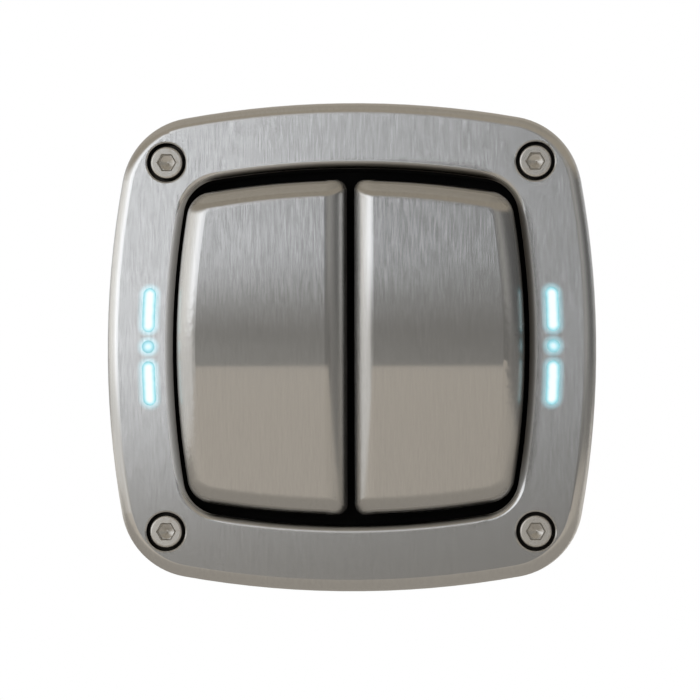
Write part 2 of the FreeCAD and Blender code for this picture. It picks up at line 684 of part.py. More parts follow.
def rounded_path(points, bend_r):
    """Straight runs through the points, joined by tangent arcs of one radius."""
    edges = []
    start = points[0]
    for before, corner, after in zip(points, points[1:], points[2:]):
        back = (before - corner).normalize()
        ahead = (after - corner).normalize()
        half_angle = back.getAngle(ahead) / 2
        cut = bend_r / math.tan(half_angle)
        middle = (back + ahead).normalize()
        nearest = corner + middle * (bend_r / math.sin(half_angle) - bend_r)
        edges.append(Part.LineSegment(start, corner + back * cut).toShape())
        edges.append(Part.Arc(corner + back * cut, nearest, corner + ahead * cut).toShape())
        start = corner + ahead * cut
    edges.append(Part.LineSegment(start, points[-1]).toShape())
    return Part.Wire(edges)


def led_leads():
    """Pair of leads from the light board, behind the bezel and through the frame to the base."""
    found = []
    hole_x, hole_z = LEAD_HOLE
    low_y = (FRAME_FRONT - 3.0) / 2
    for shift in (-0.55, 0.55):
        points = [
            Vector(34.0, BOARD[1], -10.0 + 1.5 * shift),
            Vector(34.0, low_y, -10.0 + 1.5 * shift),
            Vector(hole_x, low_y, hole_z + shift),
            Vector(hole_x, 3.0, hole_z + shift),
            Vector(POCKET_X[1], 3.0, hole_z + shift),
        ]
        path = rounded_path(points, 1.2)
        circle = Part.makeCircle(LEAD_R, points[0], Vector(0, 1, 0))
        found.append(solid(path.makePipeShell([Part.Wire(circle)], True, True)))
    return found


def earth_saddle():
    """Brass clamp plate with turned-up edges under the earth screw."""
    top = -FRAME_OPENING[1] - FRAME_THICK
    plate = box((-3.2, 3.2), (EARTH_Y - 3.0, EARTH_Y + 3.0), (top - 1.0, top))
    lips = [box(x, (EARTH_Y - 3.0, EARTH_Y + 3.0), (top - 2.0, top - 1.0))
            for x in ((-3.2, -2.75), (2.75, 3.2))]
    return solid(plate.fuse(lips).cut(rod_z(0, EARTH_Y, M3_R + 0.15, top - 3, top + 1)))


def earth_screw():
    top = -FRAME_OPENING[1] - FRAME_THICK - 1.0
    head = rod_z(0, EARTH_Y, 2.6, top - 1.8, top)
    head = head.makeFillet(0.5, edges_at(head, lambda p: abs(p.z - top + 1.8) < TINY))
    shank = rod_z(0, EARTH_Y, M3_R, top - 0.5, -FRAME_OPENING[1])
    slots = [
        box((-1.7, 1.7), (EARTH_Y - 0.3, EARTH_Y + 0.3), (top - 3, top - 0.8)),
        box((-0.3, 0.3), (EARTH_Y - 1.7, EARTH_Y + 1.7), (top - 3, top - 0.8)),
    ]
    return solid(head.fuse(shank).cut(slots))


os.makedirs("parts", exist_ok=True)

save("front_plate", [front_plate()])
save("plate_gasket", [plate_gasket()])
save("inner_bezel", [inner_bezel()])
save("mounting_frame", [mounting_frame()])
save("insert_cover", [insert_cover()])
save("insert_base", [insert_base()])
save("insert_back", [insert_back()])
save("earth_saddle", [earth_saddle()])
save("earth_screw", [earth_screw()])

CORNER_SPOTS = corners(SCREW_HALF, SCREW_HALF)
save("plate_screws", [plate_screw(x, z) for x, z in CORNER_SPOTS])
save("plate_standoffs", [plate_standoff(x, z) for x, z in CORNER_SPOTS])
save("bezel_screws", [bezel_screw(x, z) for x, z in BEZEL_SCREWS])
save("insert_screws", [insert_screw(x, z) for x, z in corners(*INSERT_SCREW)])
save("back_screws", [back_screw(x, z) for x, z in BACK_SCREWS])
save("terminal_screws", terminal_screws())

save_pair("rocker_cap", [rocker_cap()])
save_pair("rocker_carrier", [rocker_carrier()])
save_pair("pivot_pin", [pivot_pin()])
save_pair("plunger", [plunger()])
save_pair("plunger_spring", [plunger_spring()])
save_pair("contact_lever", [contact_lever()])
save_pair("moving_contacts", moving_contacts())
save_pair("fixed_contacts", fixed_contacts())
save_pair("common_terminal", [common_terminal()])
save_pair("upper_terminal", [side_terminal(1)])
save_pair("lower_terminal", [side_terminal(-1)])
save_pair("light_guide", [light_guide()])
save_pair("led_board", [led_board()])
save_pair("leds", leds())
save_pair("led_leads", led_leads())
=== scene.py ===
import json
import math

import bpy
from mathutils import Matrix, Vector


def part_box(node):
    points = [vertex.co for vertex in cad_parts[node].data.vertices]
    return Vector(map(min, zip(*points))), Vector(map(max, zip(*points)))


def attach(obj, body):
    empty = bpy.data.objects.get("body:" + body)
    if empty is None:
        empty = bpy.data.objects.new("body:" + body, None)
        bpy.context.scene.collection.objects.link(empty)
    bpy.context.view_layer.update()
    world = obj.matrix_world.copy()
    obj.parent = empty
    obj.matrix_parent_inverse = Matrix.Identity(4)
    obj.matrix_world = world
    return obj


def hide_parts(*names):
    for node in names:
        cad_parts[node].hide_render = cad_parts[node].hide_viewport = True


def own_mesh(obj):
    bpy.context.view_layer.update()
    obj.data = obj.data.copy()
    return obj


# Looks of the two-gang rocker wall switch. Metres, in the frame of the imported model:
# X right, Z up, Y into the wall, with the wall's surface at y = 0 and the front facing -Y.

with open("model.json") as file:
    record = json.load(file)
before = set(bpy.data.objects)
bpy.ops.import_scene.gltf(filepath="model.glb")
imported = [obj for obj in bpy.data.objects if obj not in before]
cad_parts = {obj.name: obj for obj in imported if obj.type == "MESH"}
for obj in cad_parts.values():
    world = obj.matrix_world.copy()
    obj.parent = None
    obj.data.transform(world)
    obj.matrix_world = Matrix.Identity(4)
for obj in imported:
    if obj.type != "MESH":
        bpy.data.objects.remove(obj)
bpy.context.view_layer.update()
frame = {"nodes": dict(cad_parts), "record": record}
scene = bpy.context.scene

MM = 0.001
SIDES = ("left", "right")

# Sizes in millimetres.
# Corner screws: how far they are from the middle both ways, and their holes' radius.
SCREW_AT = 31
SCREW_HOLE_R = 3.36
# Opening of the plate: half its width, and the radii of its bowed sides and of its corners.
OPENING_HALF = 30.0
OPENING_BOW_R = 140.5
OPENING_CORNER_R = 6.4
# Indicators: where their arc crosses the middle, its radius, half their width, and the heights
# at which each bar starts and ends.
LIGHT_X = 34.0
LIGHT_ARC_R = 146.0
LIGHT_HALF_W = 1.08
BAR_INNER = 2.45
BAR_OUTER = 9.85


# ---------------------------------------------------------------- node helpers

class Nodes:
    """The calls that build a node tree."""

    def __init__(self, tree):
        self.tree = tree

    def add(self, kind, inputs=(), **settings):
        """New node. Inputs are (socket, value or output) pairs."""
        made = self.tree.nodes.new(kind)
        for key, value in settings.items():
            setattr(made, key, value)
        for key, value in inputs:
            if isinstance(value, bpy.types.NodeSocket):
                self.tree.links.new(value, made.inputs[key])
            else:
                made.inputs[key].default_value = value
        return made

    def calc(self, operation, *values):
        pairs = list(enumerate(values))
        return self.add("ShaderNodeMath", pairs, operation=operation).outputs[0]

    def length(self, first, second):
        """Length of the vector with these two parts."""
        squares = [self.calc("POWER", value, 2.0) for value in (first, second)]
        return self.calc("SQRT", self.calc("ADD", *squares))

    def linear(self, value, low, high, to_low=0.0, to_high=1.0, **settings):
        """Value moved from one range to another and held at its ends."""
        pairs = [("Value", value), ("From Min", low), ("From Max", high),
                 ("To Min", to_low), ("To Max", to_high)]
        return self.add("ShaderNodeMapRange", pairs, **settings).outputs[0]

    def smooth(self, *values):
        """The same with soft ends."""
        return self.linear(*values, interpolation_type="SMOOTHSTEP")

    def ramp(self, value, stops):
        made = self.add("ShaderNodeValToRGB", [("Fac", value)])
        points = made.color_ramp.elements
        while len(points) < len(stops):
            points.new(0.5)
        for point, (position, colour) in zip(points, stops):
            point.position = position
            point.color = (*colour, 1.0)
        return made.outputs["Color"]


class Look(Nodes):
    """A Principled material and its node tree."""

    def __init__(self, name, **sockets):
        self.name = name
        self.material = bpy.data.materials.new(name)
        self.material.use_nodes = True
        super().__init__(self.material.node_tree)
        self.shader = self.tree.nodes["Principled BSDF"]
        self.set(**sockets)
        self.object_coords = self.add("ShaderNodeTexCoord").outputs["Object"]

    def set(self, **sockets):
        """Constants on the shader. An underscore in a name stands for a space."""
        for key, value in sockets.items():
            self.shader.inputs[key.replace("_", " ")].default_value = value

    def drive(self, socket, output):
        self.tree.links.new(output, self.shader.inputs[socket])

    def axes(self):
        split = self.add("ShaderNodeSeparateXYZ", [(0, self.object_coords)])
        return split.outputs["X"], split.outputs["Y"], split.outputs["Z"]

    def noise(self, scale, detail=3.0, roughness=0.55, stretch=(1, 1, 1), offset=(0, 0, 0)):
        """Noise in object space. Scale is in cells per metre, and stretch multiplies it by axis."""
        pairs = [("Vector", self.object_coords), ("Scale", [scale * s for s in stretch]),
                 ("Location", offset)]
        place = self.add("ShaderNodeMapping", pairs)
        pairs = [("Vector", place.outputs[0]), ("Scale", 1.0), ("Detail", detail),
                 ("Roughness", roughness)]
        return self.add("ShaderNodeTexNoise", pairs).outputs["Fac"]

    def mix(self, factor, first, second):
        """Colour between two colours or colour outputs."""
        made = self.add("ShaderNodeMix", [("Factor", factor)], data_type="RGBA")
        for socket, value in ((made.inputs[6], first), (made.inputs[7], second)):
            if isinstance(value, bpy.types.NodeSocket):
                self.tree.links.new(value, socket)
            else:
                socket.default_value = (*value, 1.0)
        return made.outputs[2]

    def bump(self, height, distance):
        pairs = [("Height", height), ("Distance", distance), ("Strength", 1.0)]
        return self.add("ShaderNodeBump", pairs).outputs[0]

    def vector(self, operation, *values):
        pairs = list(enumerate(values))
        return self.add("ShaderNodeVectorMath", pairs, operation=operation).outputs[0]


# ---------------------------------------------------------------- metals

# How far the steel's surface leans from side to side, as a slope: marks too fine to see,
# fine marks, and broader streaks.
GRIT = 0.040
FINE = 0.062
BROAD = 0.012
# Grit cells for each metre, and the angle whose tangent is the steepest grit.
GRIT_CELLS = 1e5
GRIT_STEEPEST = 1.35
# Extra roughness on the rounded edges, which are blasted rather than brushed.
EDGE_SOFTNESS = 0.15


def brushed_steel(name, dark, light, roughness):
    """Stainless steel with a fine vertical brushed grain.

    The grain tips the surface only from side to side, so reflections spread sideways and
    stay sharp up and down."""
    look = Look(name, Metallic=1.0, Anisotropic=1.0)
    fine = look.noise(6200, detail=2.0, stretch=(1.0, 1.0, 0.05))
    broad = look.noise(2300, detail=2.0, stretch=(1.0, 1.0, 0.04), offset=(3, 7, 1))
    cloud = look.noise(55, detail=3.0, offset=(5, 2, 9))
    grain = look.calc("ADD", look.calc("MULTIPLY", fine, 0.6), look.calc("MULTIPLY", broad, 0.4))
    look.shade = look.mix(look.linear(grain, 0.30, 0.70), dark, light)
    look.drive("Base Color", look.shade)
    low, high = roughness
    rough = look.linear(grain, 0.30, 0.70, low, high)
    smudge = look.linear(cloud, 0.35, 0.65, -0.004, 0.008)
    normal = look.add("ShaderNodeNewGeometry").outputs["Normal"]
    forward = [(0, normal), (1, (0, -1, 0))]
    facing = look.add("ShaderNodeVectorMath", forward, operation="DOT_PRODUCT").outputs["Value"]
    rounded = look.smooth(facing, 0.993, 0.93, 0.0, EDGE_SOFTNESS)
    look.rough = look.calc("ADD", look.calc("ADD", rough, smudge), rounded)
    look.drive("Roughness", look.rough)
    place = look.vector("MULTIPLY", look.object_coords, [GRIT_CELLS] * 3)
    grit = look.add("ShaderNodeTexWhiteNoise", [("Vector", place)]).outputs["Value"]
    slope = look.calc("TANGENT", look.linear(grit, 0, 1, -GRIT_STEEPEST, GRIT_STEEPEST))
    tip = look.calc("MULTIPLY", slope, GRIT)
    tip = look.calc("ADD", tip, look.linear(fine, 0, 1, -FINE, FINE))
    tip = look.calc("ADD", tip, look.linear(broad, 0, 1, -BROAD, BROAD))
    tangent = look.vector("NORMALIZE", look.vector("CROSS_PRODUCT", (0, 0, 1), normal))
    lean = look.add("ShaderNodeVectorMath", [(0, tangent), ("Scale", tip)], operation="SCALE")
    tipped = look.vector("ADD", normal, lean.outputs[0])
    look.drive("Normal", look.vector("NORMALIZE", tipped))
    look.drive("Tangent", tangent)
    return look


def indicator_distance(look):
    """Distance from the nearest lit middle line in half widths, and whether that is a dot's.

    1 is the rim. Each indicator is a bar, a dot and a bar on an arc, mirrored left to right."""
    x, _, z = look.axes()
    across = look.calc("ADD", look.calc("ABSOLUTE", x), (LIGHT_ARC_R - LIGHT_X) * MM)
    off = look.calc("SUBTRACT", look.length(across, z), LIGHT_ARC_R * MM)
    height = look.calc("ABSOLUTE", z)
    past_end = look.calc("SUBTRACT", height, (BAR_OUTER - LIGHT_HALF_W) * MM)
    short = look.calc("SUBTRACT", (BAR_INNER + LIGHT_HALF_W) * MM, height)
    along = look.calc("MAXIMUM", look.calc("MAXIMUM", past_end, short), 0.0)
    bar = look.length(off, along)
    dot = look.length(off, z)
    nearest = look.calc("MINIMUM", bar, dot)
    return look.calc("DIVIDE", nearest, LIGHT_HALF_W * MM), look.calc("LESS_THAN", dot, bar)


def opening_distance(look):
    """Distance out from the edge of the plate's opening, a square with bowed sides."""
    half, bow, corner = OPENING_HALF * MM, OPENING_BOW_R * MM, OPENING_CORNER_R * MM
    x, _, z = look.axes()
    reach = []
    for here, other in ((x, z), (z, x)):
        along = look.calc("ADD", look.calc("ABSOLUTE", here), bow - half)
        reach.append(look.calc("SUBTRACT", look.length(along, other), bow - corner))
    round_part = look.length(*[look.calc("MAXIMUM", value, 0.0) for value in reach])
    flat_part = look.calc("MINIMUM", look.calc("MAXIMUM", *reach), 0.0)
    return look.calc("SUBTRACT", look.calc("ADD", round_part, flat_part), corner)


def screw_distance(look):
    """Distance from the axis of the nearest corner screw."""
    x, _, z = look.axes()
    off = [look.calc("SUBTRACT", look.calc("ABSOLUTE", value), SCREW_AT * MM) for value in (x, z)]
    return look.length(*off)


def plate_steel():
    """Brushed plate with a blasted lip round its opening, painted shade and a painted glow.

    Painted shade darkens the lip, most at the right and least at the bottom, and paints the
    walls of the opening and of the screw holes nearly black. A painted glow lights the indicators'
    rims."""
    look = brushed_steel("plate_steel", (0.67, 0.665, 0.655), (0.74, 0.735, 0.72), (0.07, 0.10))
    x, y, z = look.axes()
    edge = OPENING_HALF * MM

    # Painted shade: the walls of the screw holes and of the opening turn nearly black between these
    # depths, the opening's less so near its bottom. The plate's front is at y = -9 mm
    hole_starts, hole_black = -8.85 * MM, -8.5 * MM
    wall_starts, wall_black = -7.9 * MM, -7.3 * MM
    in_hole = look.calc("LESS_THAN", screw_distance(look), SCREW_HOLE_R * MM)
    in_hole = look.calc("MULTIPLY", in_hole, look.smooth(y, hole_starts, hole_black))
    outside = opening_distance(look)
    near = look.calc("LESS_THAN", outside, 2.5 * MM)
    in_opening = look.calc("MULTIPLY", near, look.smooth(y, wall_starts, wall_black))
    in_opening = look.calc("MULTIPLY", in_opening, look.linear(z, -edge, -22 * MM, 0.2, 1.0))
    black = look.calc("MAXIMUM", in_hole, in_opening)

    # Painted shade on the lip: how far out it reaches and how dark it is, from left to right and up
    # from below
    reach = look.linear(x, -edge, edge, 1.0 * MM, 2.8 * MM)
    depth = look.linear(x, -edge, edge, 0.38, 0.90)
    depth = look.calc("MULTIPLY", depth, look.linear(z, -edge, -18 * MM, 0.25, 1.0))
    painted_lip_shade = look.calc("MULTIPLY", look.smooth(outside, reach, 0.0), depth)
    shade = look.mix(painted_lip_shade, look.shade, (0.10, 0.085, 0.065))
    # Painted shade: the walls of the holes and of the opening go nearly black
    look.drive("Base Color", look.mix(black, shade, (0.02, 0.018, 0.016)))
    blasted = look.smooth(outside, 1.5 * MM, 0.9 * MM, 0.0, 0.3)
    look.drive("Roughness", look.calc("ADD", look.rough, blasted))

    # Painted glow: the steel itself gives off cyan light at the indicators' rims, on the front face
    # only
    distance, _ = indicator_distance(look)
    glow = look.smooth(distance, 2.0, 0.98)
    on_front = look.calc("LESS_THAN", y, hole_black)
    glow = look.calc("MULTIPLY", look.calc("MULTIPLY", glow, on_front), 0.34)
    look.drive("Emission Strength", glow)
    look.set(Emission_Color=(0.30, 0.85, 1.0, 1.0))
    return look


def light_guide():
    """Lit clear moulding: white along its middle line and cyan towards its rim."""
    look = Look("light_guide", Roughness=0.22, IOR=1.49, Coat_Weight=0.3, Coat_Roughness=0.1)
    distance, dot = indicator_distance(look)
    cloud = look.noise(900, detail=2.0)
    distance = look.calc("ADD", distance, look.linear(cloud, 0.3, 0.7, -0.06, 0.06))
    bar = look.ramp(distance, [
        (0.0, (0.97, 0.99, 1.0)), (0.38, (0.94, 0.985, 1.0)), (0.62, (0.62, 0.91, 0.97)),
        (0.84, (0.34, 0.73, 0.80)), (0.97, (0.25, 0.56, 0.62)),
    ])
    spot = look.ramp(distance, [
        (0.0, (0.84, 0.96, 1.0)), (0.35, (0.70, 0.92, 0.98)), (0.62, (0.42, 0.78, 0.87)),
        (0.85, (0.28, 0.61, 0.69)), (0.97, (0.26, 0.57, 0.63)),
    ])
    look.drive("Emission Color", look.mix(dot, bar, spot))
    lens_starts, dim, lit = -6.7 * MM, 0.25, 0.95
    _, y, _ = look.axes()
    in_lens = look.calc("LESS_THAN", y, lens_starts)
    look.drive("Emission Strength", look.linear(in_lens, 0, 1, dim, lit))
    look.set(Base_Color=(0.10, 0.16, 0.18, 1.0))
    return look


def screw_steel():
    """Turned screw heads, with fine rings about each screw's own axis."""
    rings_per_metre = 14000
    look = Look("screw_steel", Metallic=1.0)
    place = look.calc("MULTIPLY", screw_distance(look), rings_per_metre)
    rings = look.add("ShaderNodeTexNoise", [("W", place), ("Scale", 1.0), ("Detail", 2.0)],
                     noise_dimensions="1D").outputs["Fac"]
    stain = look.noise(1300, detail=4.0)
    colour = look.mix(look.linear(rings, 0.35, 0.65), (0.60, 0.585, 0.555), (0.74, 0.725, 0.69))
    colour = look.mix(look.smooth(stain, 0.52, 0.75, 0.0, 0.35), colour, (0.42, 0.36, 0.29))
    look.drive("Base Color", colour)
    rough = look.linear(rings, 0.3, 0.7, 0.24, 0.36)
    look.drive("Roughness", look.calc("ADD", rough, look.linear(stain, 0.4, 0.7, 0.0, 0.08)))
    relief = look.calc("ADD", rings, look.calc("MULTIPLY", stain, 0.3))
    look.drive("Normal", look.bump(relief, 1.6e-6))
    return look


def plated_steel(name, dark, light, tint, roughness):
    """Zinc-plated or ground steel: soft clouds, passivation tint and fine drawn marks."""
    look = Look(name, Metallic=1.0)
    cloud = look.noise(160, detail=5.0, roughness=0.65)
    spots = look.noise(2400, detail=4.0, offset=(4, 4, 4))
    drawn = look.noise(2600, detail=2.0, stretch=(0.03, 1.0, 1.0), offset=(1, 6, 2))
    colour = look.mix(look.linear(cloud, 0.3, 0.7), dark, light)
    look.colour = look.mix(look.smooth(spots, 0.5, 0.8, 0.0, 0.5), colour, tint)
    look.drive("Base Color", look.colour)
    low, high = roughness
    rough = look.linear(cloud, 0.3, 0.7, low, high)
    look.rough = look.calc("ADD", rough, look.linear(drawn, 0.3, 0.7, -0.04, 0.05))
    look.drive("Roughness", look.rough)
    relief = look.calc("ADD", look.calc("MULTIPLY", drawn, 0.6), look.calc("MULTIPLY", spots, 0.5))
    look.drive("Normal", look.bump(relief, 4e-6))
    return look


def frame_steel(name, dark, light, tint, roughness):
    """Plated steel, painted black, matt and not metallic as shade where the mounting frame shows
    through the opening.
    """
    look = plated_steel(name, dark, light, tint, roughness)
    front_face, slack, within = -1.7 * MM, 0.06 * MM, 30.6 * MM
    x, y, z = look.axes()
    far = look.calc("MAXIMUM", look.calc("ABSOLUTE", x), look.calc("ABSOLUTE", z))
    on_front = look.calc("COMPARE", y, front_face, slack)
    # Painted shade: the frame's front face inside the opening turns black, matt and not metallic
    painted_gap_shade = look.calc("MULTIPLY", on_front, look.calc("LESS_THAN", far, within))
    look.drive("Base Color", look.mix(painted_gap_shade, look.colour, (0.006, 0.006, 0.006)))
    look.drive("Metallic", look.calc("SUBTRACT", 1.0, painted_gap_shade))
    look.drive("Roughness", look.calc("MAXIMUM", look.rough, look.calc("MULTIPLY", painted_gap_shade, 0.8)))
    return look


def machined(name, dark, light, tarnish, roughness):
    """Brass, copper or silver with turning marks and a thin tarnish."""
    look = Look(name, Metallic=1.0)
    cloud = look.noise(420, detail=5.0, roughness=0.6)
    marks = look.noise(3800, detail=2.0, stretch=(1.0, 0.05, 1.0))
    colour = look.mix(look.linear(marks, 0.3, 0.7), dark, light)
    colour = look.mix(look.smooth(cloud, 0.48, 0.72, 0.0, 0.6), colour, tarnish)
    look.drive("Base Color", colour)
    low, high = roughness
    look.drive("Roughness", look.linear(cloud, 0.3, 0.7, low, high))
    look.drive("Normal", look.bump(look.calc("ADD", marks, cloud), 3e-6))
    return look


# ---------------------------------------------------------------- plastics and rubber

def moulded(name, dark, light, roughness, texture, speckle=None, coat=0.0, gloss=0.5):
    """Moulded plastic or rubber: fine even pores, flow clouds and, if given, paler specks."""
    look = Look(name, IOR=1.5, Coat_Weight=coat, Coat_Roughness=0.2, Specular_IOR_Level=gloss)
    cloud = look.noise(110, detail=4.0)
    pores = look.noise(texture, detail=3.0, roughness=0.6, offset=(2, 8, 5))
    flow = look.noise(420, detail=3.0, stretch=(1.0, 0.15, 1.0), offset=(6, 3, 1))
    colour = look.mix(look.linear(cloud, 0.3, 0.7), dark, light)
    if speckle is not None:
        fleck = look.noise(4200, detail=2.0, offset=(7, 7, 2))
        colour = look.mix(look.smooth(fleck, 0.60, 0.70, 0.0, 0.55), colour, speckle)
    look.drive("Base Color", colour)
    low, high = roughness
    rough = look.linear(pores, 0.3, 0.7, low, high)
    look.drive("Roughness", look.calc("ADD", rough, look.linear(flow, 0.35, 0.65, -0.05, 0.05)))
    relief = look.calc("ADD", pores, look.calc("MULTIPLY", flow, 0.35))
    look.drive("Normal", look.bump(relief, 9e-6))
    return look


def circuit_board():
    """Green lacquer over copper tracks."""
    track_angle_per_metre = 2800.0
    look = Look("board_green", IOR=1.5, Coat_Weight=0.6, Coat_Roughness=0.15)
    _, _, z = look.axes()
    weave = look.noise(5200, detail=2.0, stretch=(1.0, 1.0, 0.12))
    wave = look.calc("SINE", look.calc("MULTIPLY", z, track_angle_per_metre))
    track = look.smooth(wave, 0.55, 0.75)
    colour = look.mix(look.linear(weave, 0.3, 0.7), (0.012, 0.075, 0.04), (0.02, 0.11, 0.06))
    colour = look.mix(look.calc("MULTIPLY", track, 0.7), colour, (0.05, 0.21, 0.09))
    look.drive("Base Color", colour)
    look.drive("Roughness", look.linear(weave, 0.3, 0.7, 0.28, 0.42))
    relief = look.calc("ADD", track, look.calc("MULTIPLY", weave, 0.15))
    look.drive("Normal", look.bump(relief, 2.5e-5))
    return look


def lamp_body():
    """White lamp packages, lit a pale blue all over."""
    look = Look("led_white", Roughness=0.35, IOR=1.5)
    grain = look.noise(3000, detail=3.0)
    look.drive("Base Color", look.mix(grain, (0.78, 0.80, 0.74), (0.92, 0.93, 0.88)))
    look.drive("Roughness", look.linear(grain, 0.3, 0.7, 0.3, 0.45))
    look.drive("Normal", look.bump(grain, 5e-6))
    look.set(Emission_Color=(0.7, 0.95, 1.0, 1.0), Emission_Strength=0.8)
    return look


STEELS = [
    plate_steel(),
    brushed_steel("rocker_steel", (0.58, 0.575, 0.565), (0.64, 0.635, 0.622), (0.045, 0.06)),
    screw_steel(),
    frame_steel("zinc_steel", (0.50, 0.52, 0.54), (0.66, 0.67, 0.67), (0.58, 0.54, 0.42),
                (0.26, 0.42)),
    plated_steel("pin_steel", (0.62, 0.62, 0.62), (0.74, 0.74, 0.74), (0.6, 0.6, 0.58),
                 (0.12, 0.2)),
    plated_steel("spring_steel", (0.42, 0.42, 0.42), (0.56, 0.56, 0.56), (0.5, 0.46, 0.4),
                 (0.2, 0.32)),
]
CONDUCTORS = [
    machined("contact_copper", (0.66, 0.36, 0.22), (0.80, 0.48, 0.31), (0.42, 0.22, 0.13),
             (0.22, 0.4)),
    machined("contact_silver", (0.72, 0.71, 0.68), (0.85, 0.84, 0.81), (0.5, 0.47, 0.42),
             (0.2, 0.35)),
    machined("brass", (0.66, 0.50, 0.22), (0.80, 0.64, 0.33), (0.44, 0.31, 0.14), (0.2, 0.38)),
]
MOULDINGS = [
    moulded("gasket_rubber", (0.016, 0.016, 0.016), (0.034, 0.033, 0.032), (0.62, 0.85), 2600),
    moulded("black_plastic", (0.004, 0.004, 0.0042), (0.008, 0.008, 0.0084), (0.62, 0.8), 5200,
            gloss=0.08),
    moulded("carrier_plastic", (0.014, 0.014, 0.015), (0.024, 0.024, 0.026), (0.5, 0.66), 4200,
            gloss=0.25),
    moulded("base_plastic", (0.040, 0.041, 0.044), (0.068, 0.069, 0.073), (0.38, 0.56), 3600,
            speckle=(0.10, 0.10, 0.105)),
    moulded("back_plastic", (0.26, 0.27, 0.28), (0.33, 0.34, 0.35), (0.36, 0.52), 3600,
            speckle=(0.42, 0.43, 0.44)),
    moulded("nylon", (0.72, 0.71, 0.66), (0.82, 0.81, 0.76), (0.35, 0.5), 2400),
    moulded("lead_red", (0.28, 0.012, 0.012), (0.38, 0.02, 0.02), (0.25, 0.4), 2000, coat=0.2),
]
INDICATOR = [light_guide(), circuit_board(), lamp_body()]
LOOKS = {look.name: look for look in STEELS + CONDUCTORS + MOULDINGS + INDICATOR}

for part in frame["record"]["subparts"]:
    for slot in frame["nodes"][part["node"]].material_slots:
        slot.material = LOOKS[part["material_slot"]].material


# ---------------------------------------------------------------- coil springs

def mesh_object(name, points, faces, look):
    """Mesh object in the scene with one material."""
    mesh = bpy.data.meshes.new(name)
    mesh.from_pydata(points, [], faces)
    mesh.materials.append(look.material)
    made = bpy.data.objects.new(name, mesh)
    scene.collection.objects.link(made)
    return made


def tube(name, centres, radius, look, sides=10):
    """Closed mesh tube along a line of points."""
    count = len(centres)
    points, faces = [], []
    for index, centre in enumerate(centres):
        ahead = centres[min(index + 1, count - 1)] - centres[max(index - 1, 0)]
        ahead.normalize()
        if index == 0:
            across = ahead.orthogonal()
        else:
            across -= ahead * across.dot(ahead)
        across.normalize()
        upward = ahead.cross(across)
        for side in range(sides):
            angle = 2 * math.pi * side / sides
            points.append(centre + radius * (math.cos(angle) * across + math.sin(angle) * upward))
    for index in range(count - 1):
        for side in range(sides):
            here, there = index * sides + side, index * sides + (side + 1) % sides
            faces.append((here, there, there + sides, here + sides))
    faces.append(tuple(reversed(range(sides))))
    faces.append(tuple(range((count - 1) * sides, count * sides)))
    made = mesh_object(name, points, faces, look)
    made.data.shade_smooth()
    return made


# Radius of the springs' wire, turns in all, close turns at each end and their pitch in wire radii.
WIRE_R = 0.17 * MM
TURNS = 8.0
END_TURNS = 1.2
END_PITCH = 2.2
STEPS_PER_TURN = 30
# Tilt of the rockers and their springs at rest, in degrees.
REST_TILT = 2.25


def plunger_spring(side):
    """Compression spring with close end turns, in place of the sleeve in the rocker's tube."""
    low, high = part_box(side + "_plunger_spring")
    tilt = math.radians(REST_TILT)
    axis = Vector((0, math.cos(tilt), math.sin(tilt)))
    aside = Vector((1, 0, 0))
    up = aside.cross(axis)
    middle = (low + high) / 2
    width = high.x - low.x
    length = (high.y - low.y - width * math.sin(tilt)) / math.cos(tilt) - 2 * WIRE_R
    coil_r = width / 2 - WIRE_R
    end_pitch = END_PITCH * WIRE_R
    centres = []
    for step in range(int(TURNS * STEPS_PER_TURN) + 1):
        turn = step / STEPS_PER_TURN
        closed = min(turn, END_TURNS) + max(turn - TURNS + END_TURNS, 0.0)
        rise = min(max((turn - END_TURNS) / (TURNS - 2 * END_TURNS), 0.0), 1.0)
        along = closed * end_pitch + rise * (length - 2 * END_TURNS * end_pitch) - length / 2
        angle = 2 * math.pi * turn
        ring = aside * math.cos(angle) + up * math.sin(angle)
        centres.append(middle + axis * along + ring * coil_r)
    made = tube(side + "_coil_spring", centres, WIRE_R, LOOKS["spring_steel"])
    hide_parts(side + "_plunger_spring")
    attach(made, "rocker_" + side)
    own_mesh(made)


for side in SIDES:
    plunger_spring(side)


# ---------------------------------------------------------------- floor, light and camera

def level_sheet(name, look, x, y, z):
    """Level rectangle. x and y are the pairs of its ends, and z is its height."""
    points = [(x[0], y[0], z), (x[1], y[0], z), (x[1], y[1], z), (x[0], y[1], z)]
    return mesh_object(name, points, [(0, 1, 2, 3)], look)


def glowing(name):
    """Look that gives off light and reflects none."""
    return Look(name, Base_Color=(0, 0, 0, 1), Roughness=1.0, Specular_IOR_Level=0.0,
                Emission_Strength=1.0)


def only_in_reflections(made):
    """Out of the camera's sight, with no shadow."""
    made.visible_camera = False
    made.visible_shadow = False


def floor():
    """Plain pale floor well below the switch."""
    look = Look("pale_floor", Roughness=0.7)
    patch = look.noise(2.5, detail=3.0)
    look.drive("Base Color", look.mix(patch, (0.80, 0.785, 0.755), (0.85, 0.835, 0.81)))
    made = level_sheet("floor", look, x=(-11.0, 11.0), y=(-11.0, 11.0), z=-0.35)


